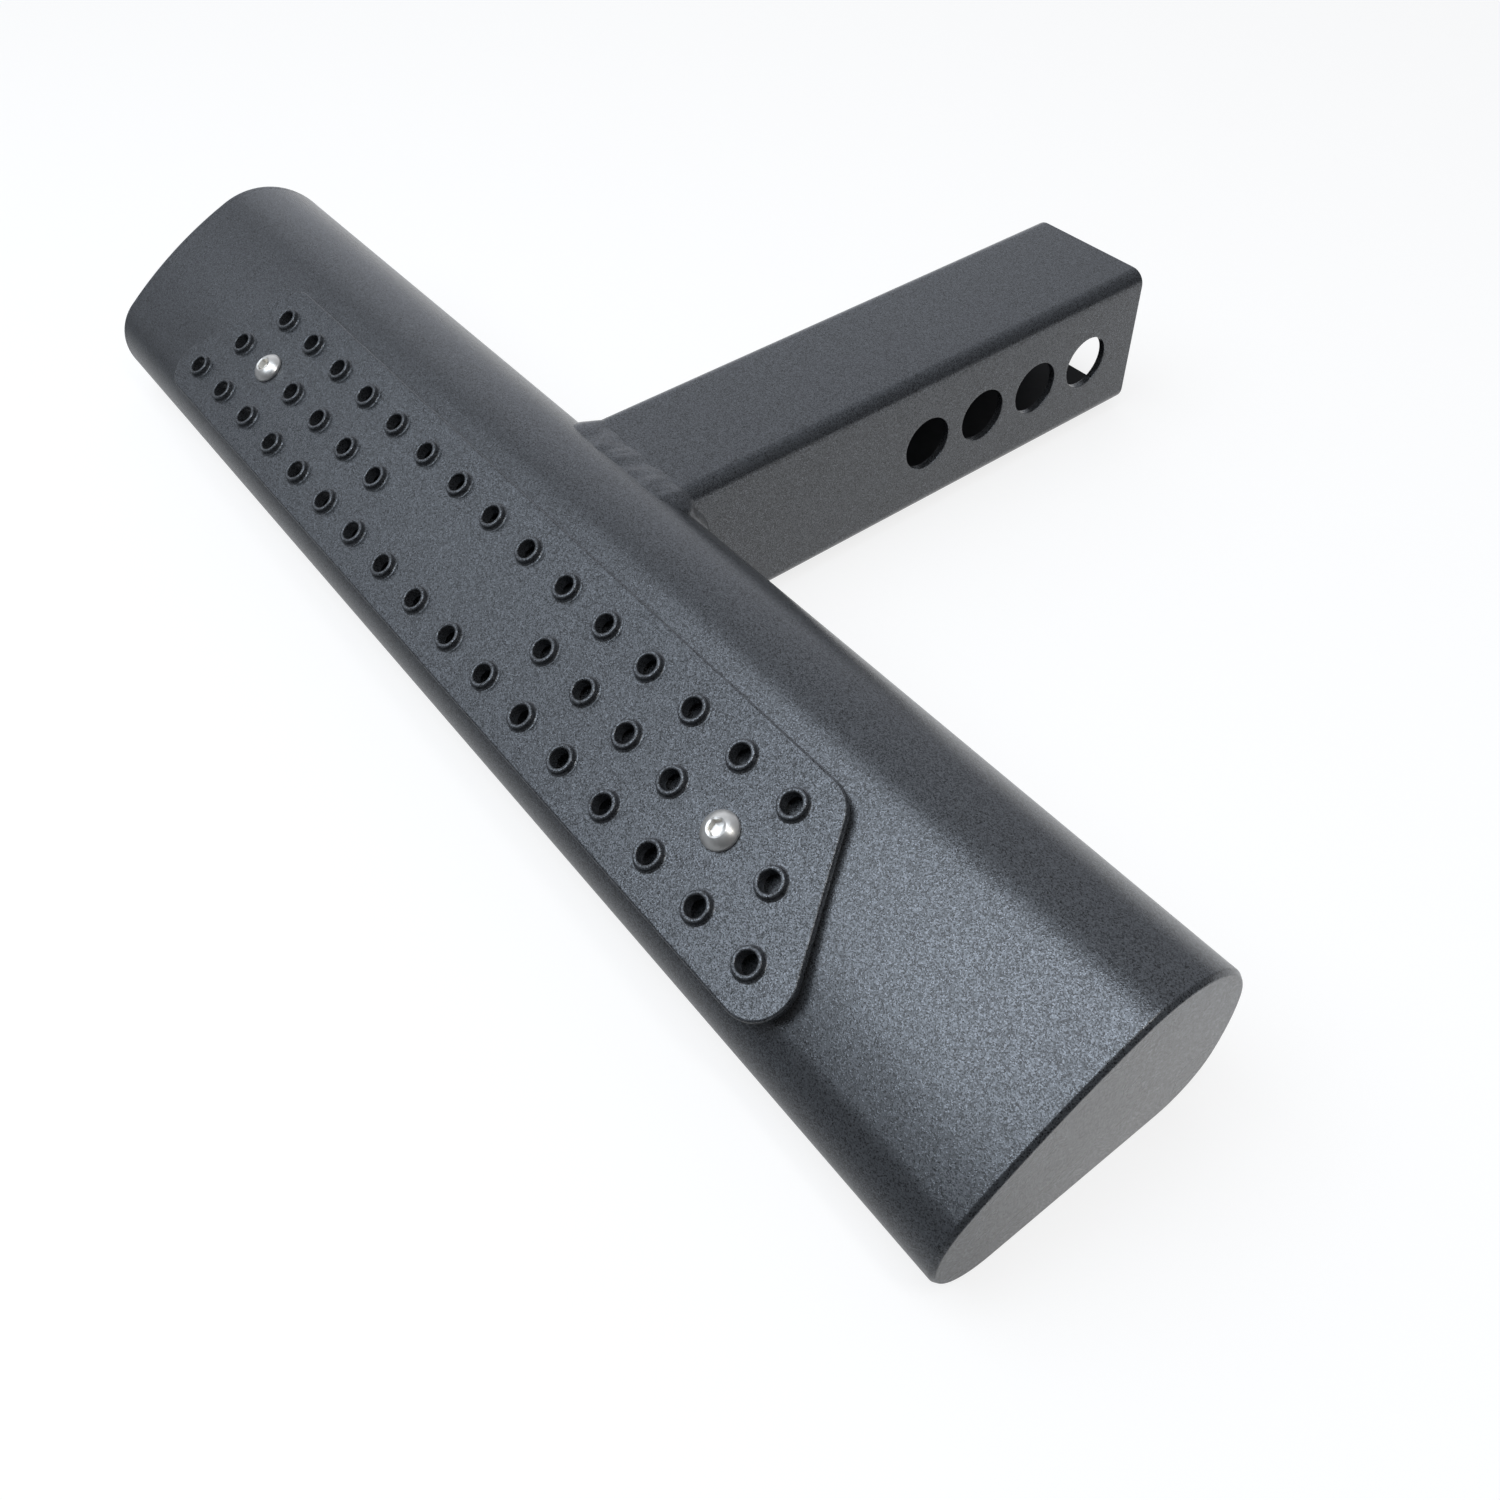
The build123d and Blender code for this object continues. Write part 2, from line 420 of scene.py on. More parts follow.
def make_piece(bm, name, materials, replaced, smooth_below=crease):
    """Turn a finished bmesh into a piece that stands for a CAD node."""
    mesh = bpy.data.meshes.new(name)
    bm.to_mesh(mesh)
    bm.free()
    mesh.polygons.foreach_set("use_smooth", [True] * len(mesh.polygons))
    mesh.set_sharp_from_angle(angle=smooth_below)
    for material in materials:
        mesh.materials.append(material)
    piece = bpy.data.objects.new(name, mesh)
    bpy.context.scene.collection.objects.link(piece)
    weights = piece.modifiers.new("weighted_normals", "WEIGHTED_NORMAL")
    weights.keep_sharp = True
    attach(piece, "root")
    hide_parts(replaced)
    return piece


def start_material(name):
    """Begin a material, and give it with its nodes, links and shader."""
    material = bpy.data.materials.new(name)
    material.use_nodes = True
    nodes, links = material.node_tree.nodes, material.node_tree.links
    return material, nodes, links, nodes["Principled BSDF"]


def add_pattern(nodes, links, kind, **values):
    """Add a texture that stays where it is on the piece."""
    pattern = nodes.new(kind)
    for name, value in values.items():
        pattern.inputs[name].default_value = value
    place = nodes.new("ShaderNodeTexCoord")
    links.new(place.outputs["Object"], pattern.inputs["Vector"])
    return pattern


def add_spread(nodes, links, pattern, socket, low, high):
    """Let a pattern move a socket between two values."""
    spread = nodes.new("ShaderNodeMapRange")
    spread.inputs["To Min"].default_value = low
    spread.inputs["To Max"].default_value = high
    links.new(pattern, spread.inputs["Value"])
    links.new(spread.outputs["Result"], socket)


def add_tones(nodes, links, pattern, socket, dark, light):
    """Let a pattern run a colour socket between two tones, each a position and a colour."""
    tones = nodes.new("ShaderNodeValToRGB")
    for stop, (position, colour) in zip(tones.color_ramp.elements, (dark, light)):
        stop.position = position
        stop.color = (*colour, 1)
    links.new(pattern, tones.inputs["Fac"])
    links.new(tones.outputs["Color"], socket)


def add_bump(nodes, links, pattern, socket, strength, distance):
    """Let a pattern stand out of the surface."""
    bump = nodes.new("ShaderNodeBump")
    bump.inputs["Strength"].default_value = strength
    bump.inputs["Distance"].default_value = distance
    links.new(pattern, bump.inputs["Height"])
    links.new(bump.outputs["Normal"], socket)


def coat_material(name="black_coat_grain"):
    """Black powder coat with a fine sandy grain and flecks of metal in it."""
    if name in bpy.data.materials:
        return bpy.data.materials[name]
    sparkle, grit, cells = coats[name]
    finish = bpy.context.scene.hitch_step.finish
    material, nodes, links, shader = start_material(name)
    shader.inputs["Specular IOR Level"].default_value = sparkle
    grain = add_pattern(nodes, links, "ShaderNodeTexVoronoi", Scale=cells)
    speck = nodes.new("ShaderNodeSeparateColor")
    links.new(grain.outputs["Color"], speck.inputs["Color"])
    shade = speck.outputs["Red"]
    add_tones(nodes, links, shade, shader.inputs["Base Color"], (0, finish.coat), (1, finish.fleck))
    add_spread(nodes, links, shade, shader.inputs["Metallic"], low=0, high=0.8)
    cloud = add_pattern(nodes, links, "ShaderNodeTexNoise", Scale=35, Detail=3).outputs["Fac"]
    add_spread(nodes, links, cloud, shader.inputs["Roughness"], low=0.24, high=0.30)
    add_bump(
        nodes, links, grain.outputs["Distance"], shader.inputs["Normal"], strength=0.5,
        distance=grit)
    return material


def painted_shade_material():
    """Dull dark coat inside the shank and on the underside of the plate; its darkness is painted
    shade.
    """
    name = "black_coat_inside"
    if name in bpy.data.materials:
        return bpy.data.materials[name]
    finish = bpy.context.scene.hitch_step.finish
    material, nodes, links, shader = start_material(name)
    shader.inputs["Specular IOR Level"].default_value = 0.2
    marks = add_pattern(nodes, links, "ShaderNodeTexNoise", Scale=180, Detail=5).outputs["Fac"]
    add_tones(
        nodes, links, marks, shader.inputs["Base Color"], (0.35, finish.inside),
        (0.7, finish.inside_patch))
    add_spread(nodes, links, marks, shader.inputs["Roughness"], low=0.55, high=0.75)
    return material


def metal_material(name, colour, roughness, scale):
    """Bare metal with fine tool marks and a little cloudiness."""
    material, nodes, links, shader = start_material(name)
    shader.inputs["Metallic"].default_value = 0.8
    marks = add_pattern(nodes, links, "ShaderNodeTexNoise", Scale=scale, Detail=4).outputs["Fac"]
    dull = [0.85 * part for part in colour]
    add_tones(nodes, links, marks, shader.inputs["Base Color"], (0, dull), (1, colour))
    add_spread(
        nodes, links, marks, shader.inputs["Roughness"], low=roughness - 0.06,
        high=roughness + 0.06)
    add_bump(nodes, links, marks, shader.inputs["Normal"], strength=0.15, distance=0.0001)
    return material


def section_arcs(tube):
    """The section's rounding circles, from heel to nose, each with the angles it runs between."""
    heel, back, shoulder, tread, nose = (
        Vector(circle) for circle in (tube.heel, tube.back, tube.shoulder, tube.tread, tube.nose))

    def lean(large, small):
        return atan2(small.y - large.y, small.x - large.x)

    turns = (
        -pi / 2, lean(back, heel), lean(back, shoulder), lean(tread, shoulder), lean(tread, nose),
        3 * pi / 2)
    return list(zip((heel, back, shoulder, tread, nose), turns[:-1], turns[1:]))


def back_surface(tube, height):
    """Where the back of the step is at a height, and the way its surface faces there."""
    for circle, start, stop in section_arcs(tube)[:3]:
        reach = (height - circle.y) / circle.z
        if abs(reach) <= 1:
            angle = atan2(reach, sqrt(1 - reach * reach))
            if start <= angle <= stop:
                facing = Vector((0, cos(angle), sin(angle)))
                return circle.x + circle.z * cos(angle), facing
    raise ValueError("the shank does not meet the back of the step")


def draw_section(bm, tube, x):
    """Draw the closed outline of the wedge at a place along the step."""
    heel = tube.heel
    point = bm.verts.new((x, heel[0], heel[1] - heel[2]))
    for (circle, start, stop), count in zip(section_arcs(tube), section_steps):
        point = turn(bm, point, (x, circle.x, circle.y), (1, 0, 0), stop - start, count)
    run(bm, point, (0, heel[0] - point.co.y, 0))
    bmesh.ops.remove_doubles(bm, verts=bm.verts, dist=touching)


def draw_square(bm, half, corner, y, steps, cuts):
    """Draw a closed square outline with round corners, facing along Y."""
    flat = half - corner
    point = bm.verts.new((flat, y, half))
    for side in range(4):
        quarter = Matrix.Rotation(side * pi / 2, 3, "Y")
        point = turn(bm, point, quarter @ Vector((flat, y, flat)), (0, 1, 0), pi / 2, steps)
        point = run(bm, point, quarter @ Vector((0, 0, -2 * flat)), cuts)
    bmesh.ops.remove_doubles(bm, verts=bm.verts, dist=touching)


class HITCHSTEP_OT_step_tube(Operator):
    """Coat a merged copy of the wedge tube, and plate the inserts in it"""

    bl_idname = "hitchstep.step_tube"
    bl_label = "Step Tube"

    def execute(self, context):
        bm = bmesh.new()
        bm.from_mesh(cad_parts["step_tube"].data)
        bmesh.ops.remove_doubles(bm, verts=bm.verts, dist=touching)
        wedge = make_piece(bm, "wedge_tube", [coat_material()], "step_tube")
        wedge.modifiers["weighted_normals"].mode = "FACE_AREA_WITH_ANGLE"

        zinc = context.scene.hitch_step.finish.zinc
        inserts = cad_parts["threaded_inserts"]
        inserts.data.materials.clear()
        inserts.data.materials.append(
            metal_material("zinc_plate_cloud", zinc, roughness=0.36, scale=900))
        return {"FINISHED"}


class HITCHSTEP_OT_end_caps(Operator):
    """Close each end of the tube with a flush plate that has a chamfered rim"""

    bl_idname = "hitchstep.end_caps"
    bl_label = "End Caps"

    def execute(self, context):
        tube = context.scene.hitch_step.tube
        straight = cap_high.x - cap_low.x - tube.rim
        for side, name in ((1, "end_cap_right"), (-1, "end_cap_left")):
            bm = bmesh.new()
            draw_section(bm, tube, cap_low.x)
            inner = bmesh.ops.contextual_create(bm, geom=bm.edges[:])["faces"]
            grown = bmesh.ops.extrude_face_region(bm, geom=inner, use_keep_orig=True)
            bmesh.ops.translate(bm, verts=vertices_of(grown["geom"]), vec=(straight, 0, 0))
            bmesh.ops.recalc_face_normals(bm, faces=bm.faces)
            bmesh.ops.inset_region(
                bm, faces=[farthest_face(bm, 0)], thickness=tube.rim_inset, depth=tube.rim,
                use_even_offset=True, use_boundary=True)
            least, most = chamfer_angles
            rim_edges = [
                edge for edge in bm.edges
                if len(edge.link_faces) == 2 and least < edge.calc_face_angle() < most]
            soften(bm, rim_edges, tube.rim_edge, 2)
            farthest_face(bm, 0).material_index = 1
            bmesh.ops.scale(bm, verts=bm.verts, vec=(side, 1, 1))
            bmesh.ops.recalc_face_normals(bm, faces=bm.faces)
            materials = [coat_material(), coat_material("black_coat_cap")]
            make_piece(bm, f"{name}_plate", materials, name)
        return {"FINISHED"}


class HITCHSTEP_OT_shank(Operator):
    """Make the square shank with softened pin holes and tail, coped to the step's back"""

    bl_idname = "hitchstep.shank"
    bl_label = "Shank"

    def execute(self, context):
        shank, tube = context.scene.hitch_step.shank, context.scene.hitch_step.tube
        half, tail = shank_high.x, shank_high.y
        bm = bmesh.new()
        draw_square(bm, half, shank.corner, tail, shank_corner_steps, shank_wall_cuts)
        grown = bmesh.ops.extrude_edge_only(bm, edges=bm.edges[:])
        for vertex in vertices_of(grown["geom"]):
            vertex.co.y = back_surface(tube, vertex.co.z)[0]

        # The side walls are opened, with the long edges in them, and filled again round pin holes
        walls = [
            face for face in bm.faces
            if all(abs(abs(v.co.x) - half) < touching for v in face.verts)]
        bmesh.ops.delete(bm, geom=walls, context="FACES_ONLY")
        long_edges = [
            edge for edge in bm.edges if not edge.link_faces and edge.calc_length() > half]
        bmesh.ops.delete(bm, geom=long_edges, context="EDGES")
        for side in (-1, 1):
            self.fill_wall(bm, shank, side, side * half)
        face_outwards(bm)
        bmesh.ops.solidify(bm, geom=bm.faces[:], thickness=shank.wall)

        # The coat rounds the tail and the holes, but not the cope under the weld
        inset, margin = 0.001, 0.01
        cope = max(back_surface(tube, height)[0] for height in (-half + inset, 0, half - inset))
        cut_edges = [
            edge for edge in bm.edges
            if len(edge.link_faces) == 2 and edge.calc_face_angle() > cut_angle
            and all(v.co.y > cope + margin for v in edge.verts)]
        soften(bm, cut_edges, shank.edge, 2)

        # Faces nearly a wall's thickness in are the inside, and take the darker coat as painted
        # shade
        hollow = half - 0.9 * shank.wall
        for face in bm.faces:
            middle = face.calc_center_median()
            if max(abs(middle.x), abs(middle.z)) < hollow:
                face.material_index = 1
        materials = [coat_material(), painted_shade_material()]
        make_piece(bm, "square_shank", materials, "shank")
        return {"FINISHED"}

    def fill_wall(self, bm, shank, side, x):
        """Draw a ring round each pin hole and fill the side wall round the rings."""
        ring_width = 4 * shank.edge
        centres = [Vector((x, -step * shank.hole_pitch, 0)) for step in range(shank.hole_count)]
        for centre in centres:
            first = bm.verts.new(centre + Vector((0, 0, shank.hole_radius)))
            last = run(bm, first, (0, 0, ring_width))
            revolve(
                bm, [first, last, first.link_edges[0]], centre, (1, 0, 0), pin_hole_steps)

        def wall_edge(edge):
            return all(
                abs(v.co.x - x) < touching
                and min((v.co - centre).yz.length for centre in centres)
                > shank.hole_radius + ring_width / 2
                for v in edge.verts)

        bmesh.ops.triangle_fill(
            bm, use_beauty=True, edges=open_edges(bm, wall_edge), normal=(side, 0, 0))


class HITCHSTEP_OT_weld(Operator):
    """Lay the rippled weld bead where the shank meets the step"""

    bl_idname = "hitchstep.weld"
    bl_label = "Shank Weld"

    def execute(self, context):
        shank, tube = context.scene.hitch_step.shank, context.scene.hitch_step.tube
        bm = bmesh.new()
        draw_square(bm, shank_high.x, shank.corner, 0, bead_corner_steps, bead_side_cuts)
        edges, across = bm.edges[:], [bm.verts[:]]
        for _ in range(bead_rows - 1):
            grown = bmesh.ops.extrude_edge_only(bm, edges=edges)["geom"]
            edges = edges_of(grown)
            across.append(vertices_of(grown))
        for row, vertices in enumerate(across):
            for vertex in vertices:
                vertex.co = self.bead_point(
                    shank, tube, vertex.co.x, vertex.co.z, row / (bead_rows - 1))
        face_outwards(bm)
        make_piece(bm, "weld_bead", [coat_material()], "shank_weld", bead_crease)
        return {"FINISHED"}

    def bead_point(self, shank, tube, x, z, share):
        """A point of the bead's skin, whose share runs from the shank's side to the step's."""
        flat = shank_high.x - shank.corner
        outward = Vector((
            x - max(-flat, min(flat, x)), 0, z - max(-flat, min(flat, z)))).normalized()
        y, facing = back_surface(tube, z)
        corner = Vector((x, y, z))
        climb = (outward - outward.dot(facing) * facing).normalized()

        wander = noise.noise(Vector((x, z, 0.3)) * course_pace)
        lump = noise.noise(Vector((x, 0.006 * share, z)) * lump_pace)
        unevenness = noise.noise(Vector((x, z, 4.1)) * climb_pace)

        # Slanting ripples under stronger lumps, and a bead that runs out most on the shank's top
        along = (x - z) / shank.bead_ripple + 0.5 * share + 1.6 * wander
        ripple = 0.3 * sin(2 * pi * along) + 1.2 * lump
        reach = shank.bead_run * (0.4 + 0.6 * max(0, outward.z)) * (1 + 0.25 * wander)
        rise = shank.bead_climb * (1 + 0.3 * unevenness)
        toe_shank = corner + Vector((0, reach, 0)) - shank.bead_sink / 2 * outward
        toe_step = corner + rise * climb - shank.bead_sink * facing
        hump = 4 * share * (1 - share)
        swell = (shank.bead_swell + shank.bead_lump * ripple) * hump * (0.5 + share)
        return toe_shank.lerp(toe_step, share) + swell * (outward + facing).normalized()


def plate_matrix(plate):
    """Place of the plate's top, X along the step and Z away from the tread."""
    turn_up = Matrix.Rotation(plate.tilt, 4, "X")
    return Matrix.Translation(plate.seat) @ turn_up @ Matrix.Translation((0, 0, plate.lift))


def collar_places(plate):
    """Middle of each collar on the plate."""
    front = [(step, -1) for step in range(-plate.front_reach, plate.front_reach + 1)]
    middle = [(side * step, 0) for side in (-1, 1) for step in middle_row_steps]
    back = [(step, 1) for step in range(-plate.back_reach, plate.back_reach + 1)]
    return [(step * plate.pitch, row * plate.row) for step, row in front + middle + back]


def draw_collar(bm, plate):
    """Turn one collar about Z, from its flared foot over the rim and down the bore."""
    foot, rim = plate.flare, plate.rim * (plate.collar - plate.bore)
    first = bm.verts.new((plate.collar + foot, 0, 0))
    point = turn(
        bm, first, (plate.collar + foot, 0, foot), (0, 1, 0), pi / 2 - plate.draft,
        collar_foot_steps)
    point = run(bm, point, (plate.collar - point.co.x, 0, plate.rise - rim - point.co.z))
    point = turn(bm, point, (point.co.x - rim, 0, point.co.z), (0, -1, 0), pi / 2, collar_rim_steps)
    point = run(bm, point, (plate.bore + rim - point.co.x, 0, 0))
    point = turn(bm, point, (point.co.x, 0, point.co.z - rim), (0, -1, 0), pi / 2, collar_rim_steps)
    run(bm, point, (0, 0, -plate.thickness - point.co.z))
    revolve(bm, bm.verts[:] + bm.edges[:], (0, 0, 0), (0, 0, 1), collar_steps)


def draw_plate_outline(bm, plate):
    """Draw the trapezoid with its round corners and close it."""
    made_before = set(bm.verts)
    half_width = plate.width / 2
    end_run = half_width * tan(plate.slant)
    front_turn, back_turn = pi / 2 + plate.slant, pi / 2 - plate.slant
    front_cut, back_cut = plate.corner * tan(front_turn / 2), plate.corner * tan(back_turn / 2)
    front, back = plate.length / 2 + end_run - front_cut, plate.length / 2 - end_run - back_cut
    front_y, back_y = plate.corner - half_width, half_width - plate.corner
    side_run = plate.width / cos(plate.slant) - front_cut - back_cut
    side_x, side_y = side_run * sin(plate.slant), side_run * cos(plate.slant)

    # Each side and the corner after it, from the front edge round to the left end
    sides = (((2 * front, 0, 0), 2), ((-side_x, side_y, 0), 1),
             ((-2 * back, 0, 0), 2), ((-side_x, -side_y, 0), 1))
    corners = (((front, front_y, 0), front_turn, front_corner_steps),
               ((back, back_y, 0), back_turn, back_corner_steps),
               ((-back, back_y, 0), back_turn, back_corner_steps),
               ((-front, front_y, 0), front_turn, front_corner_steps))
    point = bm.verts.new((-front, -half_width, 0))
    for (shift, cuts), (centre, angle, steps) in zip(sides, corners):
        point = run(bm, point, shift, cuts)
        point = turn(bm, point, centre, (0, 0, 1), angle, steps)
    outline = [vertex for vertex in bm.verts if vertex not in made_before]
    bmesh.ops.remove_doubles(bm, verts=outline, dist=touching)


class HITCHSTEP_OT_tread_plate(Operator):
    """Make the tread plate with its rows of drawn-up collars"""

    bl_idname = "hitchstep.tread_plate"
    bl_label = "Tread Plate"

    def execute(self, context):
        plate, screw = context.scene.hitch_step.plate, context.scene.hitch_step.screw
        bm = bmesh.new()
        draw_collar(bm, plate)
        collar = bm.verts[:] + bm.edges[:] + bm.faces[:]
        places = collar_places(plate)
        for place in places[1:]:
            copy = bmesh.ops.duplicate(bm, geom=collar)["geom"]
            bmesh.ops.translate(bm, verts=vertices_of(copy), vec=(*place, 0))
        bmesh.ops.translate(bm, verts=vertices_of(collar), vec=(*places[0], 0))

        # A plain hole under each screw's head
        for x in (-screw.place, screw.place):
            first = bm.verts.new((x + screw.stem + screw.clearance, 0, 0))
            last = run(bm, first, (0, 0, -plate.thickness))
            revolve(
                bm, [first, last, first.link_edges[0]], (x, 0, 0), (0, 0, 1), screw_hole_steps)

        # The sheet's outline, given its thickness and a soft upper edge
        draw_plate_outline(bm, plate)
        rim = [edge for edge in bm.edges if not edge.link_faces]
        cover = bmesh.ops.contextual_create(bm, geom=rim)["faces"]
        sheet = bmesh.ops.extrude_face_region(bm, geom=cover, use_keep_orig=True)["geom"]
        bmesh.ops.translate(bm, verts=vertices_of(sheet), vec=(0, 0, -plate.thickness))
        soften(bm, rim, plate.edge, 4)

        # Both faces of the sheet are opened and filled again round the bores
        covers = [face for face in bm.faces if len(face.verts) > 4]
        bmesh.ops.delete(bm, geom=covers, context="FACES_ONLY")
        for height, up in ((0, 1), (-plate.thickness, -1)):
            level = open_edges(
                bm, lambda edge: all(abs(v.co.z - height) < touching for v in edge.verts))
            bmesh.ops.triangle_fill(bm, use_beauty=True, edges=level, normal=(0, 0, up))
        bmesh.ops.recalc_face_normals(bm, faces=bm.faces)
        # The sheet's underside takes the darker coat: painted shade in the gap under the plate
        underside = -0.99 * plate.thickness
        for face in bm.faces:
            if face.calc_center_median().z < underside:
                face.material_index = 1
        bmesh.ops.transform(bm, verts=bm.verts, matrix=plate_matrix(plate))
        materials = [coat_material("black_coat_plate"), painted_shade_material()]
        make_piece(bm, "pierced_tread_plate", materials, "tread_plate")
        return {"FINISHED"}


class HITCHSTEP_OT_tread_screws(Operator):
    """Make the two button head screws"""

    bl_idname = "hitchstep.tread_screws"
    bl_label = "Tread Screws"

    def execute(self, context):
        settings = context.scene.hitch_step
        screw = settings.screw
        bm = bmesh.new()
        self.turn_screw(bm, screw)
        self.sink_socket(bm, screw)
        bmesh.ops.recalc_face_normals(bm, faces=bm.faces)

        bmesh.ops.rotate(
            bm, verts=bm.verts, cent=(0, 0, 0), matrix=Matrix.Rotation(screw.turn, 3, "Z"))
        whole = bm.verts[:] + bm.edges[:] + bm.faces[:]
        copy = bmesh.ops.duplicate(bm, geom=whole)["geom"]
        bmesh.ops.translate(bm, verts=vertices_of(copy), vec=(screw.place, 0, 0))
        bmesh.ops.translate(bm, verts=vertices_of(whole), vec=(-screw.place, 0, 0))
        bmesh.ops.transform(bm, verts=bm.verts, matrix=plate_matrix(settings.plate))
        steel = metal_material(
            "stainless_turned", settings.finish.stainless, roughness=0.34, scale=700)
        make_piece(bm, "button_screws", [steel], "tread_screws")
        return {"FINISHED"}

    def turn_screw(self, bm, screw):
        """Turn the stem and the domed head about Z, open where the socket goes."""
        crown = screw.rise - screw.rim
        mouth = screw.key / 2 / cos(pi / 6) + screw.lip
        dome = (screw.head ** 2 + crown ** 2) / (2 * crown)
        swing = atan2(screw.head, dome - crown) - atan2(mouth, sqrt(dome ** 2 - mouth ** 2))
        stem = bm.verts.new((screw.stem, 0, -screw.length))
        point = run(bm, stem, (0, 0, screw.length))
        point = run(bm, point, (screw.head - screw.edge - screw.stem, 0, 0))
        point = run(bm, point, (screw.edge, 0, screw.edge))
        point = run(bm, point, (0, 0, screw.rim - screw.edge))
        turn(bm, point, (0, 0, screw.rise - dome), (0, -1, 0), swing, dome_steps)
        revolve(bm, bm.verts[:] + bm.edges[:], (0, 0, 0), (0, 0, 1), screw_steps)
        end_ring = open_edges(
            bm, lambda edge: all(abs(v.co.z + screw.length) < touching for v in edge.verts))
        bmesh.ops.contextual_create(bm, geom=end_ring)

    def sink_socket(self, bm, screw):
        """Bridge a hexagon to the dome's mouth, sink it and close it with a drill point."""
        mouth = open_edges(bm, lambda edge: all(v.co.z > screw.rim for v in edge.verts))
        height = max(v.co.z for v in bm.verts) - screw.sink
        hexagon = bmesh.ops.create_circle(
            bm, cap_ends=False, radius=screw.key / 2 / cos(pi / 6), segments=6)["verts"]
        bmesh.ops.translate(bm, verts=hexagon, vec=(0, 0, height))
        sides = dict.fromkeys(edge for vertex in hexagon for edge in vertex.link_edges)
        cut = bmesh.ops.subdivide_edges(bm, edges=list(sides), cuts=screw_steps // 6 - 1)
        ring = list(dict.fromkeys(edges_of(cut["geom_inner"] + cut["geom_split"])))
        bmesh.ops.bridge_loops(bm, edges=mouth + ring)
        sunk = bmesh.ops.extrude_edge_only(bm, edges=ring)["geom"]
        bmesh.ops.translate(bm, verts=vertices_of(sunk), vec=(0, 0, -screw.depth))
        bottom = bmesh.ops.contextual_create(bm, geom=edges_of(sunk))["faces"]
        centre = bmesh.ops.poke(bm, faces=bottom)["verts"]
        bmesh.ops.translate(bm, verts=centre, vec=(0, 0, -screw.drill))


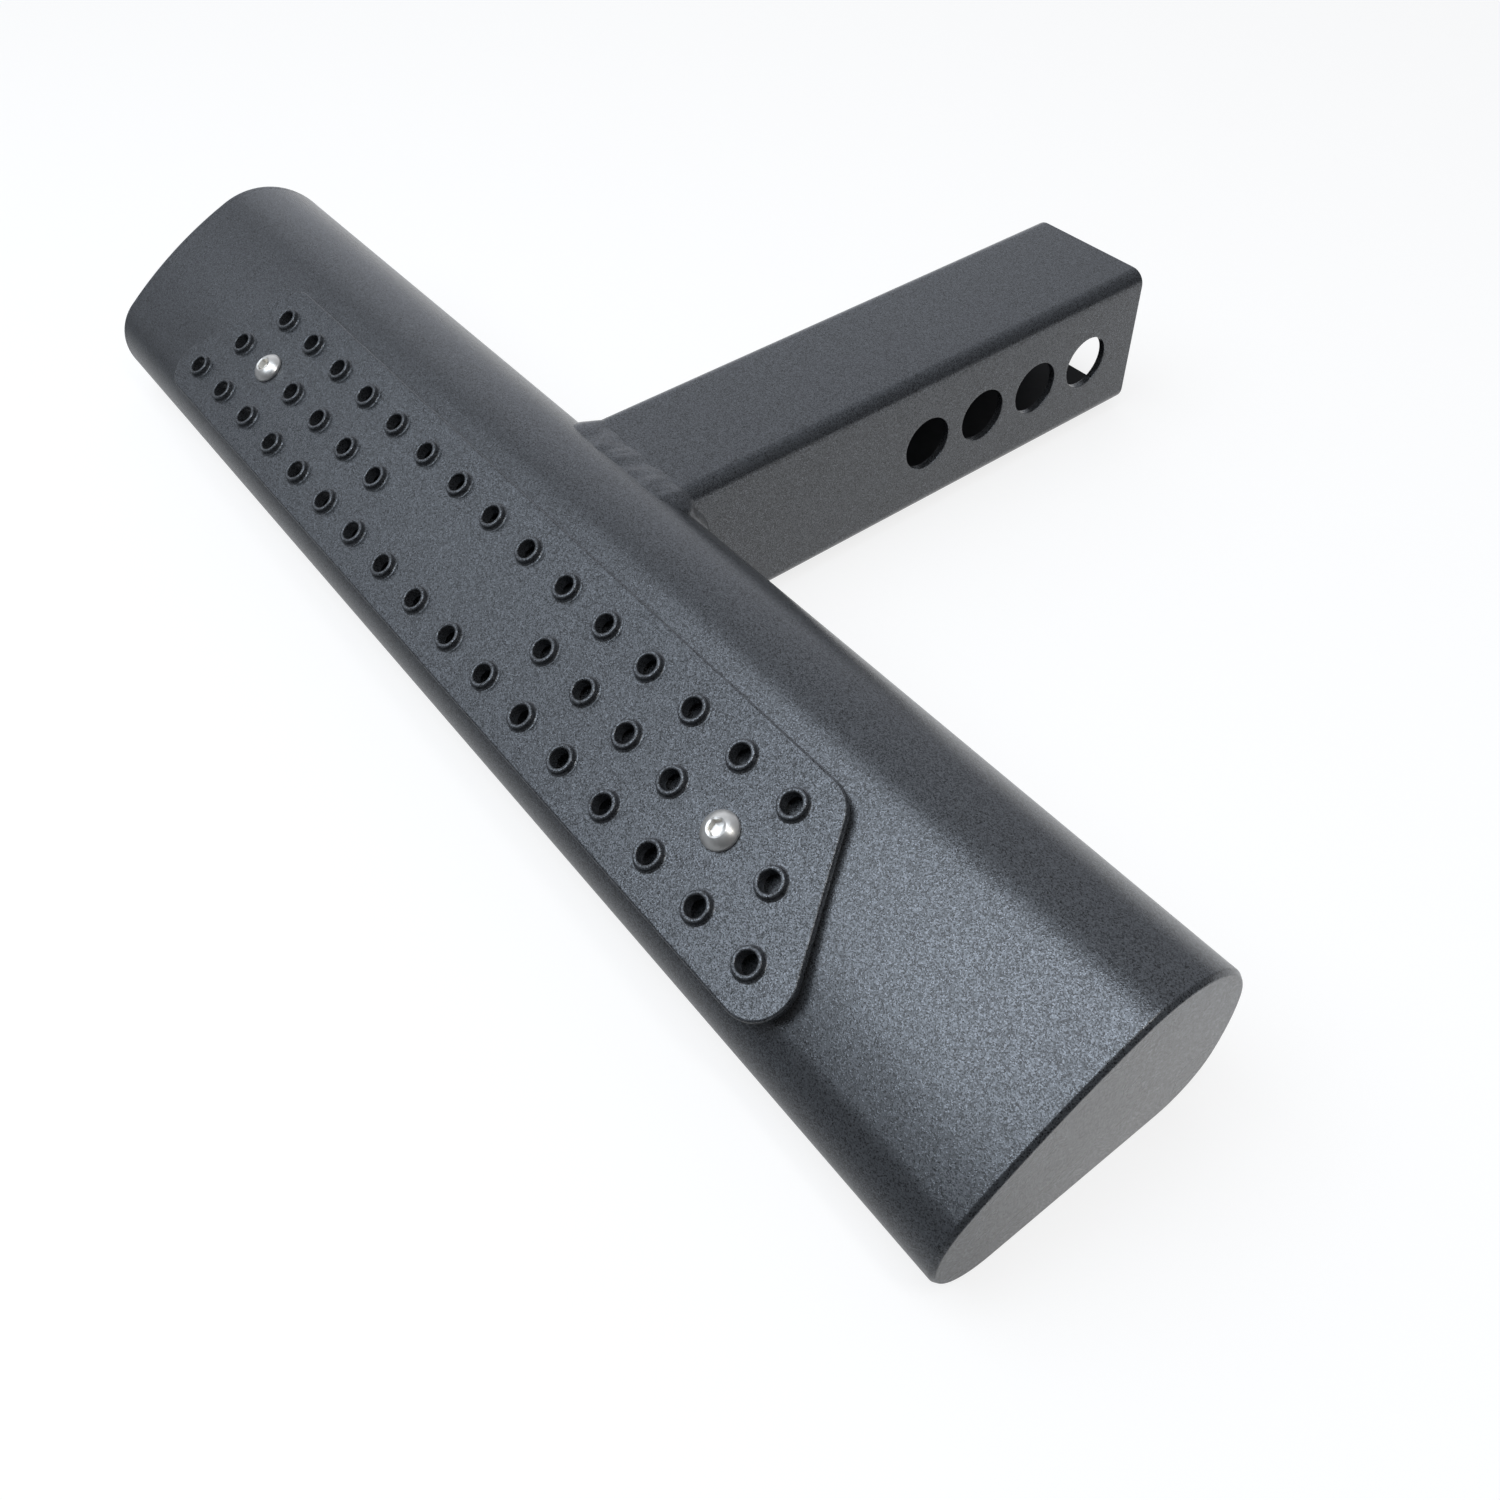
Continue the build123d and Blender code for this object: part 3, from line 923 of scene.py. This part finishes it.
class HITCHSTEP_OT_stage(Operator):
    """Set up the floor, the sky, the lamps and the camera"""

    bl_idname = "hitchstep.stage"
    bl_label = "Stage"

    def execute(self, context):
        settings = context.scene.hitch_step.stage
        self.lay_floor(context, settings)
        self.make_sky(context, settings)
        for name, (colour, size, place, target) in soft_boxes.items():
            self.hang_soft_box(
                context, name, size, getattr(settings, name), getattr(settings, colour), place,
                target)

        camera_data = bpy.data.cameras.new("camera")
        camera_data.lens = settings.lens
        camera_data.sensor_width = 36
        camera_data.clip_start = 0.01
        camera = bpy.data.objects.new("camera", camera_data)
        camera.location = settings.camera_place
        camera.rotation_euler = settings.camera_turn
        context.scene.collection.objects.link(camera)
        context.scene.camera = camera
        context.scene.view_settings.view_transform = "Standard"
        return {"FINISHED"}

    def lay_floor(self, context, settings):
        """Lay a wide floor under the step."""
        floor_mesh = bpy.data.meshes.new("floor")
        bm = bmesh.new()
        bmesh.ops.create_grid(bm, x_segments=1, y_segments=1, size=6)
        bmesh.ops.translate(bm, verts=bm.verts, vec=(0, 0, tube_low.z))
        bm.to_mesh(floor_mesh)
        bm.free()
        floor = bpy.data.objects.new("floor", floor_mesh)
        context.scene.collection.objects.link(floor)
        floor_mesh.materials.append(self.floor_material(settings))

    def floor_material(self, settings):
        """Floor that looks white to the camera, keeps a shadow and is mirrored brighter behind."""
        material, nodes, links, shader = start_material("floor")
        shader.inputs["Base Color"].default_value = (*settings.floor_tone, 1)
        shader.inputs["Roughness"].default_value = 0.9
        shader.inputs["Emission Color"].default_value = (1, 1, 1, 1)

        path = nodes.new("ShaderNodeLightPath")
        place = nodes.new("ShaderNodeTexCoord")
        parts = nodes.new("ShaderNodeSeparateXYZ")
        links.new(place.outputs["Object"], parts.inputs["Vector"])
        behind = nodes.new("ShaderNodeMapRange")
        behind.interpolation_type = "SMOOTHSTEP"
        behind.inputs["From Min"].default_value = settings.mirrored_start
        behind.inputs["From Max"].default_value = settings.mirrored_full
        behind.inputs["To Max"].default_value = settings.floor_mirrored
        links.new(parts.outputs["Y"], behind.inputs["Value"])
        mirrored = nodes.new("ShaderNodeMath")
        mirrored.operation = "MULTIPLY"
        links.new(path.outputs["Is Glossy Ray"], mirrored.inputs[0])
        links.new(behind.outputs["Result"], mirrored.inputs[1])
        seen = nodes.new("ShaderNodeMath")
        seen.operation = "MULTIPLY_ADD"
        seen.inputs[1].default_value = settings.floor_white
        links.new(path.outputs["Is Camera Ray"], seen.inputs[0])
        links.new(mirrored.outputs["Value"], seen.inputs[2])
        links.new(seen.outputs["Value"], shader.inputs["Emission Strength"])
        return material

    def make_sky(self, context, settings):
        """Light the step softly all round, most from the left behind, over a plain backdrop."""
        world = bpy.data.worlds.new("studio")
        world.use_nodes = True
        nodes, links = world.node_tree.nodes, world.node_tree.links
        direction = nodes.new("ShaderNodeTexCoord")
        level = nodes.new("ShaderNodeVectorMath")
        level.operation = "MULTIPLY"
        level.inputs[1].default_value = sky_flattening
        links.new(direction.outputs["Generated"], level.inputs[0])
        bearing = nodes.new("ShaderNodeVectorMath")
        bearing.operation = "NORMALIZE"
        links.new(level.outputs["Vector"], bearing.inputs[0])
        leftward = nodes.new("ShaderNodeVectorMath")
        leftward.operation = "DOT_PRODUCT"
        leftward.inputs[1].default_value = sky_bearing
        links.new(bearing.outputs["Vector"], leftward.inputs[0])
        share = nodes.new("ShaderNodeMapRange")
        share.inputs["From Min"].default_value = -1
        links.new(leftward.outputs["Value"], share.inputs["Value"])

        glow = nodes.new("ShaderNodeValToRGB")
        stops = glow.color_ramp.elements
        for position, strength in sky_stops:
            stops.new(position).color = (*[strength * part for part in sky_tint], 1)
        stops[0].color = (*settings.sky_dark, 1)
        stops[-1].color = (*settings.sky_light, 1)
        links.new(share.outputs["Result"], glow.inputs["Fac"])

        path = nodes.new("ShaderNodeLightPath")
        seen = nodes.new("ShaderNodeMix")
        seen.data_type = "RGBA"
        seen.inputs["B"].default_value = (*settings.backdrop, 1)
        links.new(path.outputs["Is Camera Ray"], seen.inputs["Factor"])
        links.new(glow.outputs["Color"], seen.inputs["A"])
        links.new(seen.outputs["Result"], nodes["Background"].inputs["Color"])
        nodes["Background"].inputs["Strength"].default_value = settings.sky
        context.scene.world = world

    def hang_soft_box(self, context, name, size, energy, colour, place, target):
        """Hang a rectangular soft lamp and aim it."""
        lamp_data = bpy.data.lights.new(name, "AREA")
        lamp_data.shape = "RECTANGLE"
        lamp_data.size, lamp_data.size_y = size
        lamp_data.energy = energy
        lamp_data.color = colour
        lamp = bpy.data.objects.new(name, lamp_data)
        lamp.location = place
        aim = Vector(target) - lamp.location
        lamp.rotation_euler = aim.to_track_quat("-Z", "Y").to_euler()
        context.scene.collection.objects.link(lamp)


class HITCHSTEP_PT_sidebar(Panel):
    """Lists the hitch step's settings and the operators that make its pieces"""

    bl_idname = "HITCHSTEP_PT_sidebar"
    bl_label = "Hitch Step"
    bl_space_type = "VIEW_3D"
    bl_region_type = "UI"
    bl_category = "Hitch Step"

    def draw(self, context):
        settings = context.scene.hitch_step
        for operator in operators:
            self.layout.operator(operator.bl_idname)
        for name in ("tube", "shank", "plate", "screw", "finish", "stage"):
            group = getattr(settings, name)
            box = self.layout.box()
            for key in group.__annotations__:
                box.prop(group, key)


operators = (
    HITCHSTEP_OT_step_tube,
    HITCHSTEP_OT_end_caps,
    HITCHSTEP_OT_shank,
    HITCHSTEP_OT_weld,
    HITCHSTEP_OT_tread_plate,
    HITCHSTEP_OT_tread_screws,
    HITCHSTEP_OT_stage,
)
classes = (
    StepTubeSettings,
    ShankSettings,
    PlateSettings,
    ScrewSettings,
    FinishSettings,
    StageSettings,
    HitchStepSettings,
    *operators,
    HITCHSTEP_PT_sidebar,
)


def register():
    for cls in classes:
        bpy.utils.register_class(cls)
    bpy.types.Scene.hitch_step = PointerProperty(type=HitchStepSettings)


def unregister():
    del bpy.types.Scene.hitch_step
    for cls in reversed(classes):
        bpy.utils.unregister_class(cls)


def main():
    register()
    bpy.ops.hitchstep.step_tube()
    bpy.ops.hitchstep.end_caps()
    bpy.ops.hitchstep.shank()
    bpy.ops.hitchstep.weld()
    bpy.ops.hitchstep.tread_plate()
    bpy.ops.hitchstep.tread_screws()
    bpy.ops.hitchstep.stage()


if __name__ == "__main__":
    main()
